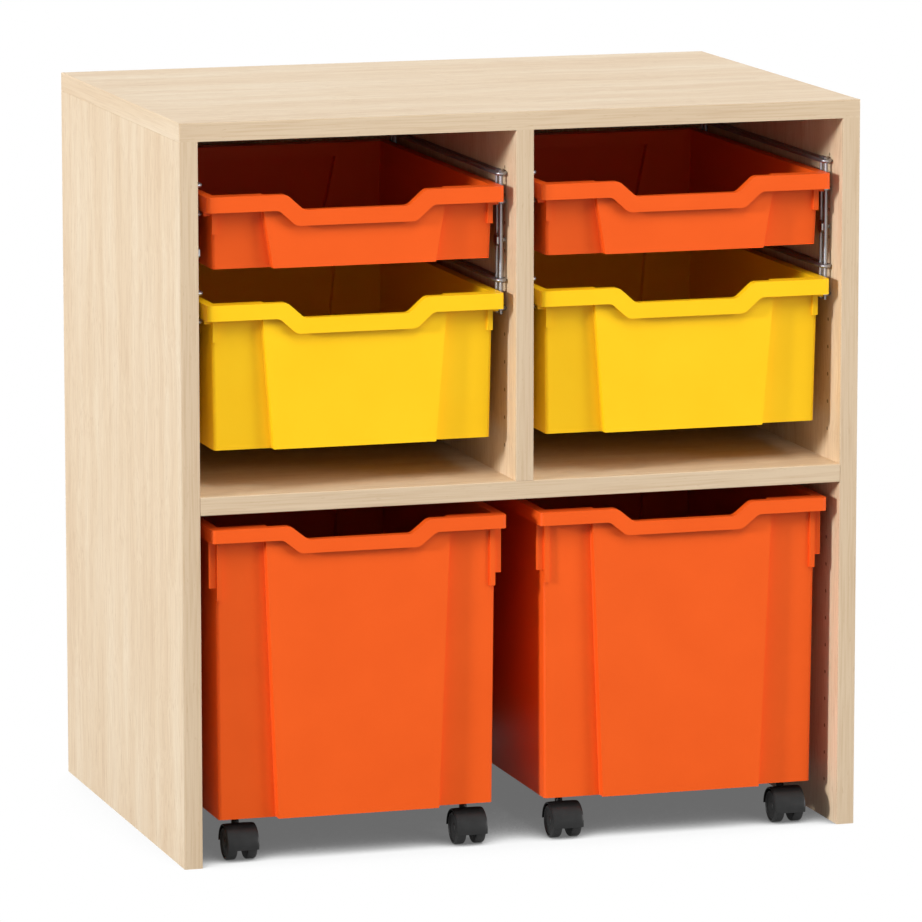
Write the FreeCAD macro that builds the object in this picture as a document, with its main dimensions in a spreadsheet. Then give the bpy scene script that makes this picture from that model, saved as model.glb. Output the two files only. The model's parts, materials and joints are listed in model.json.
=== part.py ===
import FreeCAD, Part
import math
import os
import re
from types import SimpleNamespace

from FreeCAD import Placement, Rotation, Vector

# Two-column tray store with rolling bins.
# The carcass is edged board: a top over two sides, a fixed shelf, a divider above it and a thin back.
# Each upper bay has a pair of welded wire runner frames that carry one shallow and one deep moulded tray.
# Below the shelf stand two large moulded bins, each on four hooded twin-wheel castors.
# Frame, in millimetres: origin at the middle of the footprint on the floor, X right, Y back, Z up.

SIZES = {
    # Boards
    "board": 19.0,
    "lipping": 2.0,
    "back_thickness": 6.0,
    "back_rebate": 9.0,
    "back_floor_gap": 15.0,
    "tongue_thickness": 4.0,
    "tongue_depth": 9.0,
    "tongue_setback": 50.0,
    # Moulded trays and bins: rim
    "rim_width": 312.0,
    "rim_length": 427.0,
    "rim_corner": 4.5,
    "skirt": 16.0,
    "bin_skirt": 13.8,
    "flange": 2.5,
    "tray_wall": 2.5,
    "tray_floor": 3.0,
    # Moulded trays and bins: walls and raised panels
    "side_overhang": 7.75,
    "front_overhang": 15.5,
    "draft": 2.5,
    "body_corner": 3.5,
    "panel_proud": 8.0,
    "panel_top_width": 196.0,
    "panel_base_width": 171.0,
    "back_ledge": 12.0,
    # Finger dip in the front rim
    "dip_depth": 16.0,
    "bin_dip_depth": 14.4,
    "dip_top_width": 146.0,
    "dip_base_width": 110.0,
    "dip_round": 10.0,
    "dip_spread": 8.0,
    # Corner ribs and push-in stops under the rim
    "rib_width": 5.5,
    "rib_proud": 2.5,
    "rib_inset": 0.75,
    "stop_thickness": 3.0,
    "stop_gap": 0.5,
    "tray_rib_drop": 23.0,
    "tray_stop_drop": 4.6,
    "bin_rib_drop": 61.2,
    "bin_stop_drop": 48.5,
    # Heights of the mouldings and the room around them
    "shallow_height": 75.0,
    "deep_height": 150.0,
    "bin_height": 303.0,
    "head_room": 57.3,
    "tray_room": 34.5,
    "shelf_room": 43.2,
    "bin_room": 16.0,
    "rear_room": 54.5,
    "bin_gap": 36.0,
    "tray_setback": 5.5,
    "bin_setback": 3.0,
    # Wire runner frames
    "wire_size": 4.2,
    "weld_sink": 0.3,
    "seat_overlap": 1.8,
    "seat_gap": 0.3,
    "loop_front": 26.0,
    "loop_shortfall": 26.0,
    "hold_down_gap": 7.6,
    "leg_spacing": 13.0,
    "upright_rise": 2.3,
    "upright_drop": 4.5,
    "screw_radius": 2.5,
    "screw_bite": 12.0,
    "screw_head_radius": 6.9,
    "screw_head_height": 2.0,
    # Twin-wheel castors
    "wheel_radius": 17.0,
    "wheel_width": 11.0,
    "axle_radius": 2.5,
    "axle_reach": 7.0,
    "running_clearance": 0.05,
    "side_clearance": 0.4,
    "hood_gap": 1.3,
    "hood_wall": 2.2,
    "hood_overhang": 0.5,
    "hood_front_drop": 4.2,
    "hood_headroom": 6.5,
    "hub_wall": 3.5,
    "trail": 14.6,
    "stem_radius": 3.5,
    "socket_wall": 1.05,
    "socket_sink": 2.0,
    "socket_drop": 4.0,
    "socket_floor": 2.0,
    "stem_insert": 22.0,
    "boss_wall": 3.5,
    "boss_cover": 3.0,
    "castor_edge": 25.6,
    "castor_side": 23.75,
    # Overrun of every cutting tool past the face it cuts
    "overrun": 1.0,
}

# Places and sizes worked out from the driving sizes
WORKED = {
    # Carcass, sized around the trays, bins and runner frames that it holds
    "frame_reach": "3 * wire_size - weld_sink",
    "bay_width": "rim_width + 2 * (frame_reach - seat_overlap)",
    "bay_middle": "(bay_width + board) / 2",
    "carcass_width": "2 * bay_width + 3 * board",
    "carcass_depth": "tray_setback + rim_length + rear_room + back_thickness",
    "bin_base_level": "wheel_radius + hood_radius + hood_headroom",
    "bin_rim_level": "bin_base_level + bin_height",
    "shelf_underside": "bin_rim_level + bin_room",
    "shelf_top": "shelf_underside + board",
    "deep_rim_level": "shelf_top + shelf_room + deep_height",
    "shallow_rim_level": "deep_rim_level + tray_room + shallow_height",
    "side_height": "shallow_rim_level + head_room",
    "left": "-carcass_width / 2",
    "right": "carcass_width / 2",
    "front": "-carcass_depth / 2",
    "inner_rear": "carcass_depth / 2 - back_thickness",
    "core_depth": "carcass_depth - lipping",
    "inner_depth": "core_depth - back_thickness",
    "tongue_length": "carcass_depth - 2 * tongue_setback",
    "tongue_start": "front + tongue_setback",
    # Mouldings
    "tray_front": "front + tray_setback",
    "bin_front": "front + bin_setback",
    "bin_spacing": "rim_width + bin_gap",
    "mouth_width": "rim_width - 2 * side_overhang",
    "base_width": "mouth_width - 2 * draft",
    "base_overhang": "front_overhang + draft",
    "panel_set": "front_overhang - panel_proud",
    "rib_set": "front_overhang - rib_proud",
    "rib_side_set": "side_overhang + rib_inset",
    "rib_depth": "rib_proud + body_corner",
    "stop_set": "loop_front - tray_setback - stop_gap - stop_thickness",
    # Runner frames
    "loop_middle": "frame_reach / 2",
    "loop_length": "rim_length - loop_shortfall",
    "wire_rise": "wire_size / 2 / cos(30 deg)",
    "upright_set": "3 * wire_size / 2 + leg_spacing / 2 - weld_sink",
    "upright_front": "front + loop_front + upright_set",
    "upright_rear": "front + loop_front + loop_length - upright_set",
    "upright_foot": "deep_rim_level - skirt - seat_gap - wire_size - upright_drop",
    "upright_height": "shallow_rim_level + hold_down_gap + wire_size + upright_rise - upright_foot",
    "screw_seat": "loop_middle + wire_size / 2",
    "screw_level": "(shallow_rim_level - skirt + deep_rim_level + hold_down_gap) / 2",
    # Castors
    "wheel_gap": "2 * (stem_radius + running_clearance + socket_wall + side_clearance)",
    "web_width": "wheel_gap - 2 * side_clearance",
    "hood_radius": "wheel_radius + hood_gap + hood_wall",
    "hood_width": "wheel_gap + 2 * wheel_width + 2 * hood_overhang",
    "socket_rise": "hood_radius - socket_sink",
    "castor_inset": "base_overhang + castor_edge",
    "castor_span": "base_width - 2 * castor_side",
}

WORD = re.compile(r"[a-z_]+")

doc = FreeCAD.newDocument("tray_store")
sheet = doc.addObject("Spreadsheet::Sheet", "dims")
for row, (alias, number) in enumerate(SIZES.items(), start=1):
    sheet.set("A%d" % row, alias)
    sheet.set("B%d" % row, str(number))
    sheet.setAlias("B%d" % row, alias)
doc.recompute()

# The same cells as plain numbers, for outlines and fillets
size = SimpleNamespace(**{alias: float(sheet.get(alias)) for alias in SIZES})

sub_parts = []


def formula(text):
    """Spell a sum of size names as an expression on the sheet and on the worked-out sizes."""
    def spell(word):
        name = word.group()
        if name in WORKED:
            return "worked." + name
        return "dims." + name if name in SIZES else name
    return WORD.sub(spell, text)


worked = doc.addObject("App::VarSet", "worked")
for alias in WORKED:
    worked.addProperty("App::PropertyFloat", alias)
for alias, sum_text in WORKED.items():
    worked.setExpression(alias, formula(sum_text).replace("worked.", ""))
doc.recompute()


def bind(thing, **sums):
    for name, text in sums.items():
        thing.setExpression(name, formula(text))
    return thing


def place(thing, x="0", y="0", z="0"):
    for axis, text in zip("xyz", (x, y, z)):
        thing.setExpression("Placement.Base." + axis, formula(text))
    return thing


def sub_part(thing, label):
    thing.Label = label
    sub_parts.append(thing)
    return thing


def box(name, length, width, height, x, y, z):
    thing = bind(doc.addObject("Part::Box", name), Length=length, Width=width, Height=height)
    return place(thing, x, y, z)


# Turned pieces are many-sided, with their corners on the true radius
PIN_SIDES = 8
WHEEL_SIDES = 16
HALF_STEP = 180 / PIN_SIDES
FLATS_OUTSIDE = " / cos(180 deg / %d)" % PIN_SIDES
ACROSS = Rotation(Vector(0, 1, 0), 90)
UPWARD = Rotation()


def turned(name, radius, height, x, y, z, turn=UPWARD, sides=PIN_SIDES, spin=0):
    """A pin, disc or bore as a prism; spin turns it about its own line."""
    thing = bind(doc.addObject("Part::Prism", name), Circumradius=radius, Height=height)
    thing.Polygon = sides
    thing.Placement = Placement(Vector(), turn * Rotation(Vector(0, 0, 1), spin))
    return place(thing, x, y, z)


def tapered_block(name, low, high):
    """Block with a level rectangle at each end; low and high give half width, front, rear and level."""
    thing = doc.addObject("Part::Wedge", name)
    half_low, front_low, rear_low, level_low = low
    half_high, front_high, rear_high, level_high = high
    bind(thing, Ymin=level_low, Ymax=level_high)
    bind(thing, Xmin="-(%s)" % half_low, Xmax=half_low, X2min="-(%s)" % half_high, X2max=half_high)
    bind(thing, Zmin="-(%s)" % rear_low, Zmax="-(%s)" % front_low)
    bind(thing, Z2min="-(%s)" % rear_high, Z2max="-(%s)" % front_high)
    thing.Placement = Placement(Vector(), Rotation(Vector(1, 0, 0), 90))
    return thing


def cut(name, base, *tools):
    thing = doc.addObject("Part::Cut", name)
    thing.Base = base
    thing.Tool = tools[0] if len(tools) == 1 else fuse(name + "_tools", *tools)
    thing.Refine = True
    return thing


def fuse(name, *pieces):
    thing = doc.addObject("Part::MultiFuse", name)
    thing.Shapes = list(pieces)
    thing.Refine = True
    return thing


def group(name, pieces):
    thing = doc.addObject("Part::Compound", name)
    thing.Links = list(pieces)
    return thing


def round_edges(name, base, radius, wanted):
    """Fillet the edges of base for which wanted(start, end) is true."""
    doc.recompute()
    picked = []
    for number, edge in enumerate(base.Shape.Edges, start=1):
        start, end = (corner.Point for corner in edge.Vertexes)
        if wanted(start, end):
            picked.append((number, radius, radius))
    thing = doc.addObject("Part::Fillet", name)
    thing.Base = base
    thing.Edges = picked
    return thing


def is_upright(start, end):
    along = end - start
    return abs(along.z) > math.hypot(along.x, along.y)


# Boards, lippings and the tongues that join them

# The front and rear upright of every runner frame, with the place of each along the depth
UPRIGHTS = (("front", "upright_front"), ("rear", "upright_rear"))


def side_panel(side, board_left, inner_cut_left, tongue_left):
    """A side board with its back rebate, tongue grooves and runner screw holes."""
    blank = box(side + "_blank", "board", "core_depth", "side_height",
                board_left, "front + lipping", "0")
    rebate = box(side + "_rebate", "back_rebate", "back_thickness + overrun",
                 "side_height - back_floor_gap + overrun",
                 inner_cut_left, "inner_rear", "back_floor_gap")
    top_groove = box(side + "_top_groove", "tongue_thickness", "tongue_length",
                     "tongue_depth + overrun",
                     board_left + " + board / 2 - tongue_thickness / 2", "tongue_start",
                     "side_height - tongue_depth")
    shelf_groove = box(side + "_shelf_groove", "tongue_depth", "tongue_length", "tongue_thickness",
                       tongue_left, "tongue_start", "shelf_top - board / 2 - tongue_thickness / 2")
    return blank, [rebate, top_groove, shelf_groove]


def screw_holes(name, mouth, inward):
    """Two holes, front and rear, that run from the mouth face into a board; inward is + or -."""
    turn = ACROSS if inward == "+" else ACROSS.inverted()
    holes = []
    for end, y in UPRIGHTS:
        holes.append(turned(name + "_" + end, "screw_radius", "screw_bite", mouth, y, "screw_level", turn))
    return holes


def build_boards():
    blank, cuts = side_panel("left_side", "left", "left + board - back_rebate",
                             "left + board - tongue_depth")
    cuts += screw_holes("left_side_hole", "left + board", "-")
    sub_part(cut("left_side_cut", blank, *cuts), "left_side_panel")

    blank, cuts = side_panel("right_side", "right - board", "right - board", "right - board")
    cuts += screw_holes("right_side_hole", "right - board", "+")
    sub_part(cut("right_side_cut", blank, *cuts), "right_side_panel")

    blank = box("top_blank", "carcass_width - 2 * lipping", "core_depth", "board",
                "left + lipping", "front + lipping", "side_height")
    rebate = box("top_rebate", "carcass_width - 2 * board + 2 * back_rebate", "back_thickness + overrun",
                 "back_rebate + overrun",
                 "left + board - back_rebate", "inner_rear", "side_height - overrun")
    grooves = []
    lines = (("left", "left + board / 2"), ("middle", "0"), ("right", "right - board / 2"))
    for name, middle in lines:
        grooves.append(box("top_groove_" + name, "tongue_thickness", "tongue_length",
                           "tongue_depth + overrun",
                           middle + " - tongue_thickness / 2", "tongue_start", "side_height - overrun"))
    sub_part(cut("top_cut", blank, rebate, *grooves), "top_panel")

    blank = box("divider_blank", "board", "inner_depth", "side_height - shelf_top",
                "-board / 2", "front + lipping", "shelf_top")
    grooves = []
    for name, level in (("head", "side_height - tongue_depth"), ("foot", "shelf_top - overrun")):
        grooves.append(box("divider_groove_" + name, "tongue_thickness", "tongue_length",
                           "tongue_depth + overrun", "-tongue_thickness / 2", "tongue_start", level))
    bores = []
    for end, y in UPRIGHTS:
        bores.append(turned("divider_bore_" + end, "screw_radius", "board + 2 * overrun",
                            "-board / 2 - overrun", y, "screw_level", ACROSS))
    sub_part(cut("divider_cut", blank, *grooves, *bores), "centre_divider")

    blank = box("shelf_blank", "carcass_width - 2 * board", "inner_depth", "board",
                "left + board", "front + lipping", "shelf_underside")
    level = "shelf_top - board / 2 - tongue_thickness / 2"
    grooves = [
        box("shelf_groove_left", "tongue_depth + overrun", "tongue_length", "tongue_thickness",
            "left + board - overrun", "tongue_start", level),
        box("shelf_groove_right", "tongue_depth + overrun", "tongue_length", "tongue_thickness",
            "right - board - tongue_depth", "tongue_start", level),
        box("shelf_groove_top", "tongue_thickness", "tongue_length", "tongue_depth + overrun",
            "-tongue_thickness / 2", "tongue_start", "shelf_top - tongue_depth"),
    ]
    sub_part(cut("shelf_cut", blank, *grooves), "fixed_shelf")

    back = box("back_board", "carcass_width - 2 * board + 2 * back_rebate", "back_thickness",
               "side_height - back_floor_gap + back_rebate",
               "left + board - back_rebate", "inner_rear", "back_floor_gap")
    sub_part(back, "back_panel")


def build_lippings():
    strips = [
        box("lip_top_front", "carcass_width", "lipping", "board", "left", "front", "side_height"),
        box("lip_top_left", "lipping", "core_depth", "board", "left", "front + lipping", "side_height"),
        box("lip_top_right", "lipping", "core_depth", "board", "right - lipping", "front + lipping",
            "side_height"),
        box("lip_left", "board", "lipping", "side_height", "left", "front", "0"),
        box("lip_right", "board", "lipping", "side_height", "right - board", "front", "0"),
        box("lip_divider", "board", "lipping", "side_height - shelf_top", "-board / 2", "front",
            "shelf_top"),
        box("lip_shelf", "carcass_width - 2 * board", "lipping", "board", "left + board", "front",
            "shelf_underside"),
    ]
    sub_part(group("edge_strips", strips), "edge_lippings")


def build_tongues():
    upright = ("tongue_thickness", "tongue_length", "2 * tongue_depth")
    level = ("2 * tongue_depth", "tongue_length", "tongue_thickness")
    edge = "shelf_top - board / 2 - tongue_thickness / 2"
    tongues = [
        box("tongue_top_left", *upright, "left + board / 2 - tongue_thickness / 2", "tongue_start",
            "side_height - tongue_depth"),
        box("tongue_top_middle", *upright, "-tongue_thickness / 2", "tongue_start",
            "side_height - tongue_depth"),
        box("tongue_top_right", *upright, "right - board / 2 - tongue_thickness / 2", "tongue_start",
            "side_height - tongue_depth"),
        box("tongue_divider", *upright, "-tongue_thickness / 2", "tongue_start",
            "shelf_top - tongue_depth"),
        box("tongue_shelf_left", *level, "left + board - tongue_depth", "tongue_start", edge),
        box("tongue_shelf_right", *level, "right - board - tongue_depth", "tongue_start", edge),
    ]
    sub_part(group("loose_tongues", tongues), "joint_tongues")


# Wire runner frames


BEND_RUNS = 3
WIRE_SIDES = 6
SCREW_HEAD_SIDES = 6


def half_turn(radius):
    """Points of a bend of three straight runs, from +x round to -x, and how far it rises."""
    angles = [math.pi * step / BEND_RUNS for step in range(BEND_RUNS + 1)]
    points = [(radius * math.cos(angle), radius * math.sin(angle)) for angle in angles]
    return points, max(rise for across, rise in points)


def wire_section(name, turn, x, y, z):
    """A six-sided wire section, wire_size across its flats."""
    thing = bind(doc.addObject("Part::RegularPolygon", name),
                 Circumradius="wire_size / 2 / cos(180 deg / %d)" % WIRE_SIDES)
    thing.Polygon = WIRE_SIDES
    thing.Placement = Placement(Vector(x, y, z), turn * Rotation(Vector(0, 0, 1), 180 / WIRE_SIDES))
    return thing


def swept(name, section, path):
    thing = doc.addObject("Part::Sweep", name)
    thing.Sections = [section]
    thing.Spine = (path, ["Edge%d" % number for number in range(1, len(path.Shape.Edges) + 1)])
    thing.Solid = True
    thing.Frenet = False
    thing.Transition = "Right corner"
    return thing


def loop_path():
    """A flat racetrack of wire, its front bend at y = 0 and its middle line on x = 0."""
    radius = worked.loop_middle - size.wire_size / 2
    bend, rise = half_turn(radius)
    near = size.wire_size / 2 + rise
    far = worked.loop_length - near
    middle = worked.loop_length / 2
    points = [Vector(radius, middle, 0)]
    points += [Vector(x, far + y, 0) for x, y in bend]
    points += [Vector(-x, near - y, 0) for x, y in bend]
    path = doc.addObject("Part::Polygon", "loop_path")
    path.Nodes = points
    path.Close = True
    doc.recompute()
    return path, points[0]


def hairpin_path():
    """Two legs joined by a short level bar at the top, their middle line on y = 0, their feet at z = 0."""
    half = size.leg_spacing / 2
    top = worked.upright_height - size.wire_size / 2
    points = [Vector(0, half, 0), Vector(0, half, top), Vector(0, -half, top), Vector(0, -half, 0)]
    path = doc.addObject("Part::Polygon", "hairpin_path")
    path.Nodes = points
    doc.recompute()
    return path, points[0]


RUNNER_LEVELS = (
    ("shallow_hold_down", "shallow_rim_level + hold_down_gap + wire_rise"),
    ("shallow_seat", "shallow_rim_level - skirt - seat_gap - wire_rise"),
    ("deep_hold_down", "deep_rim_level + hold_down_gap + wire_rise"),
    ("deep_seat", "deep_rim_level - skirt - seat_gap - wire_rise"),
)

# Each frame: its name, the board face that it is screwed to, the way it stands out from that face
# and how far its screws bite; the divider's two frames share one bore, a screw from each side
FRAMES = (
    ("left_bay_outer", "left + board", "+", "screw_bite"),
    ("left_bay_inner", "-board / 2", "-", "board / 2 - seat_gap"),
    ("right_bay_inner", "board / 2", "+", "board / 2 - seat_gap"),
    ("right_bay_outer", "right - board", "-", "screw_bite"),
)


def build_runner_frames():
    loop_line, loop_start = loop_path()
    along_y = Rotation(Vector(1, 0, 0), 90)
    loop_section = wire_section("loop_section", along_y, loop_start.x, loop_start.y, loop_start.z)

    hairpin_line, hairpin_start = hairpin_path()
    hairpin_section = wire_section("hairpin_section", Rotation(), hairpin_start.x, hairpin_start.y,
                                   hairpin_start.z)

    screws = []
    for name, face, way, bite in FRAMES:
        middle = "%s %s loop_middle" % (face, way)
        loops = []
        for runner, level in RUNNER_LEVELS:
            loop = swept("%s_%s" % (name, runner), loop_section, loop_line)
            loops.append(place(loop, middle, "front + loop_front", level))
        sub_part(group(name + "_loop_set", loops), name + "_runner_loops")

        hairpins = []
        for end, y in UPRIGHTS:
            hairpin = swept("%s_%s_hairpin" % (name, end), hairpin_section, hairpin_line)
            hairpins.append(place(hairpin, middle, y, "upright_foot"))
            screws.append(runner_screw("%s_%s_screw" % (name, end), face, way, bite, y))
        sub_part(group(name + "_hairpin_set", hairpins), name + "_runner_uprights")
    sub_part(group("screw_set", screws), "runner_screws")


def runner_screw(name, face, way, bite, y):
    """A hexagon-head screw: its head bears on both legs of a hairpin, its shank bites into the board."""
    turn = ACROSS if way == "+" else ACROSS.inverted()
    shank = turned(name + "_shank", "screw_radius", "screw_seat + " + bite,
                   "%s %s (%s)" % (face, "-" if way == "+" else "+", bite), y, "screw_level", turn)
    head = turned(name + "_head", "screw_head_radius", "screw_head_height",
                  "%s %s screw_seat" % (face, way), y, "screw_level", turn, SCREW_HEAD_SIDES)
    return fuse(name, shank, head)


# Moulded trays and bins


def rounded_run(points, radius):
    """Edges along a line of points whose inner corners are rounded by tangent arcs."""
    edges = []
    start = points[0]
    for before, corner, after in zip(points, points[1:], points[2:]):
        back = (before - corner).normalize()
        ahead = (after - corner).normalize()
        half_angle = back.getAngle(ahead) / 2
        reach = radius / math.tan(half_angle)
        middle = corner + (back + ahead).normalize() * (radius / math.sin(half_angle) - radius)
        first = corner + back * reach
        last = corner + ahead * reach
        edges.append(Part.LineSegment(start, first).toShape())
        edges.append(Part.Arc(first, middle, last).toShape())
        start = last
    edges.append(Part.LineSegment(start, points[-1]).toShape())
    return edges


def dip_line(depth, spread, drop, end, y):
    """The dipped line of the front rim, from left to right: level, down the slope, along and up again."""
    high = size.dip_top_width / 2 + spread
    low = size.dip_base_width / 2 + spread
    levels = ((-end, -drop), (-high, -drop), (-low, -drop - depth))
    left_half = [Vector(x, y, z) for x, z in levels]
    return left_half + [Vector(-point.x, y, point.z) for point in reversed(left_half)]


def outline(name, upper, lower):
    """A closed outline between an upper and a lower run of edges, joined at the ends."""
    thing = doc.addObject("Part::Feature", name)
    starts = [run[0].firstVertex(True).Point for run in (upper, lower)]
    finishes = [run[-1].lastVertex(True).Point for run in (upper, lower)]
    ends = [Part.LineSegment(*starts).toShape(), Part.LineSegment(*finishes).toShape()]
    thing.Shape = Part.Wire(Part.__sortEdges__(upper + lower + ends))
    return thing


def extruded(name, base, length):
    thing = bind(doc.addObject("Part::Extrusion", name), LengthFwd=length)
    thing.Base = base
    thing.DirMode = "Custom"
    thing.Dir = Vector(0, 1, 0)
    thing.Solid = True
    return thing


def build_dip(kind, depth, skirt):
    """The tool that opens the dip, and the skirt and flange that follow it."""
    end = size.dip_top_width / 2 + size.dip_spread + size.dip_round
    round_top = size.dip_round
    cut_start = -size.overrun
    opening_low = rounded_run(dip_line(depth, 0, 0, end, cut_start), round_top)
    above_left = Vector(-end, cut_start, size.overrun)
    above_right = Vector(end, cut_start, size.overrun)
    above = [Part.LineSegment(above_left, above_right).toShape()]
    opening = extruded(kind + "_dip_opening", outline(kind + "_dip_opening_outline", above, opening_low),
                       "panel_set + tray_wall + base_overhang")

    top = rounded_run(dip_line(depth, 0, 0, end, 0), round_top)
    skirt_foot = rounded_run(dip_line(depth, size.dip_spread, skirt, end, 0), round_top)
    skirt_band = extruded(kind + "_dip_skirt", outline(kind + "_dip_skirt_outline", top, skirt_foot),
                          "tray_wall")

    flange_foot = rounded_run(dip_line(depth, 0, size.flange, end, 0), round_top)
    flange_band = extruded(kind + "_dip_flange", outline(kind + "_dip_flange_outline", top, flange_foot),
                           "panel_set + tray_wall")
    return opening, [skirt_band, flange_band]


def build_rim(kind, skirt):
    """The flat flange with its rounded corners and the skirt that hangs from its edge."""
    block = box(kind + "_rim_block", "rim_width", "rim_length", skirt, "-rim_width / 2", "0", "-" + skirt)
    block = round_edges(kind + "_rim_rounded", block, size.rim_corner, is_upright)
    hollow = box(kind + "_rim_hollow", "rim_width - 2 * tray_wall", "rim_length - 2 * tray_wall",
                 skirt + " - flange + overrun",
                 "-rim_width / 2 + tray_wall", "tray_wall", "-%s - overrun" % skirt)
    return cut(kind + "_rim_cap", block, hollow)


def moulded_body(kind, height, skirt, rib_drop, stop_drop, rim, dip_opening, dip_bands):
    """The moulding in its own frame: x = 0 in the middle, y = 0 at the rim's front, z = 0 at its top."""
    foot = "-" + height
    walls = tapered_block(kind + "_walls",
                          ("base_width / 2", "base_overhang", "rim_length - base_overhang", foot),
                          ("mouth_width / 2", "front_overhang", "rim_length - front_overhang", "0"))
    walls = round_edges(kind + "_walls_rounded", walls, size.body_corner, is_upright)
    inner_front = "base_overhang + tray_wall / 2"
    front_panel = tapered_block(kind + "_front_panel",
                                ("panel_base_width / 2", "panel_set", inner_front, foot),
                                ("panel_top_width / 2", "panel_set", inner_front, "-flange / 2"))
    inner_rear = "rim_length - base_overhang - tray_wall / 2"
    rear_panel = tapered_block(kind + "_rear_panel",
                               ("panel_base_width / 2", inner_rear, "rim_length - panel_set", foot),
                               ("panel_top_width / 2", inner_rear, "rim_length - panel_set",
                                "-back_ledge"))

    ribs = []
    left_side = ("left", "-rim_width / 2 + rib_side_set", "-rim_width / 2 + tray_wall / 2")
    right_side = ("right", "rim_width / 2 - rib_side_set - rib_width", "base_width / 2")
    for side, rib_left, stop_left in (left_side, right_side):
        ribs.append(box("%s_%s_rib" % (kind, side), "rib_width", "rib_depth",
                        "%s + %s - flange / 2" % (skirt, rib_drop),
                        rib_left, "rib_set", "-%s - %s" % (skirt, rib_drop)))
        ribs.append(box("%s_%s_stop" % (kind, side), "(rim_width - base_width - tray_wall) / 2",
                        "stop_thickness", "%s + %s - flange / 2" % (skirt, stop_drop),
                        stop_left, "stop_set", "-%s - %s" % (skirt, stop_drop)))
    solid = fuse(kind + "_solid", rim, walls, front_panel, rear_panel, *ribs)

    floor = foot + " + tray_floor"
    hollow = tapered_block(kind + "_hollow",
                           ("base_width / 2 - tray_wall", "base_overhang + tray_wall",
                            "rim_length - base_overhang - tray_wall", floor),
                           ("mouth_width / 2 - tray_wall", "front_overhang + tray_wall",
                            "rim_length - front_overhang - tray_wall", "overrun"))
    hollow = round_edges(kind + "_hollow_rounded", hollow, size.body_corner - size.tray_wall, is_upright)
    pocket_rear = "base_overhang + 2 * tray_wall"
    front_pocket = tapered_block(kind + "_front_pocket",
                                 ("panel_base_width / 2 - tray_wall", "panel_set + tray_wall",
                                  pocket_rear, floor),
                                 ("panel_top_width / 2 - tray_wall", "panel_set + tray_wall",
                                  pocket_rear, "overrun"))
    pocket_front = "rim_length - base_overhang - 2 * tray_wall"
    rear_pocket = tapered_block(kind + "_rear_pocket",
                                ("panel_base_width / 2 - tray_wall", pocket_front,
                                 "rim_length - panel_set - tray_wall", floor),
                                ("panel_top_width / 2 - tray_wall", pocket_front,
                                 "rim_length - panel_set - tray_wall", "-back_ledge - tray_wall"))
    opened = cut(kind + "_opened", solid, hollow, front_pocket, rear_pocket, dip_opening)
    return [opened] + dip_bands


CASTOR_CORNERS = (
    ("front_left", "-castor_span / 2", "castor_inset"),
    ("front_right", "castor_span / 2", "castor_inset"),
    ("rear_left", "-castor_span / 2", "rim_length - castor_inset"),
    ("rear_right", "castor_span / 2", "rim_length - castor_inset"),
)


def build_mouldings():
    rim = build_rim("tray", "skirt")
    opening, bands = build_dip("tray", size.dip_depth, size.skirt)
    for kind, level in (("shallow", "shallow_rim_level"), ("deep", "deep_rim_level")):
        pieces = moulded_body(kind, kind + "_height", "skirt", "tray_rib_drop", "tray_stop_drop",
                              rim, opening, bands)
        for side, middle in (("left", "-bay_middle"), ("right", "bay_middle")):
            tray = fuse("%s_%s" % (kind, side), *pieces)
            place(tray, middle, "tray_front", level)
            sub_part(tray, "%s_tray_%s" % (kind, side))

    rim = build_rim("bin", "bin_skirt")
    opening, bands = build_dip("bin", size.bin_dip_depth, size.bin_skirt)
    pieces = moulded_body("bin", "bin_height", "bin_skirt", "bin_rib_drop", "bin_stop_drop",
                          rim, opening, bands)
    bosses = []
    bores = []
    for corner, x, y in CASTOR_CORNERS:
        bosses.append(turned("bin_boss_" + corner, "stem_radius + boss_wall",
                             "stem_insert + boss_cover", x, y, "-bin_height"))
        bores.append(turned("bin_bore_" + corner, "stem_radius", "stem_insert + overrun",
                            x, y, "-bin_height - overrun"))
    solid = fuse("bin_solid_with_bosses", *pieces, *bosses)
    for side, middle in (("left", "-bin_spacing / 2"), ("right", "bin_spacing / 2")):
        rolling_bin = cut("bin_" + side, solid, *bores)
        place(rolling_bin, middle, "bin_front", "bin_rim_level")
        sub_part(rolling_bin, "rolling_bin_" + side)


# Castors


def build_hood():
    """Arched hood with a middle web, its origin at the axle's middle; the stem stands at y = trail."""
    wide = "hood_width + 2 * overrun"
    left = "-hood_width / 2 - overrun"
    outer = turned("hood_outer", "hood_radius", "hood_width", "-hood_width / 2", "0", "0",
                   ACROSS, WHEEL_SIDES)
    inner = turned("hood_inner", "hood_radius - hood_wall", wide, left, "0", "0", ACROSS, WHEEL_SIDES)
    arch = cut("hood_arch", outer, inner)
    web = turned("hood_web", "hood_radius - hood_wall / 2", "web_width", "-web_width / 2", "0", "0",
                 ACROSS, WHEEL_SIDES)
    reach = "hood_radius + overrun"
    back_by_reach = "-hood_radius - overrun"
    below_front = box("hood_below_front", wide, reach, reach, left, back_by_reach,
                      back_by_reach + " - hood_front_drop")
    below_rear = box("hood_below_rear", wide, reach, reach, left, "0", back_by_reach)
    body = cut("hood_body", fuse("hood_arch_and_web", arch, web), below_front, below_rear)
    hub = turned("hood_hub", "axle_radius + hub_wall", "web_width", "-web_width / 2", "0", "0", ACROSS)
    socket = turned("hood_socket", "web_width / 2", "socket_rise + socket_drop",
                    "0", "trail", "-socket_drop")
    solid = fuse("hood_solid", body, hub, socket)
    stem_bore = turned("hood_stem_bore", "(stem_radius + running_clearance)" + FLATS_OUTSIDE,
                       "socket_rise + socket_drop - socket_floor + overrun",
                       "0", "trail", "-socket_drop + socket_floor", spin=HALF_STEP)
    axle_bore = turned("hood_axle_bore", "axle_radius", wide, left, "0", "0", ACROSS)
    return cut("hood_bored", solid, stem_bore, axle_bore)


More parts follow.
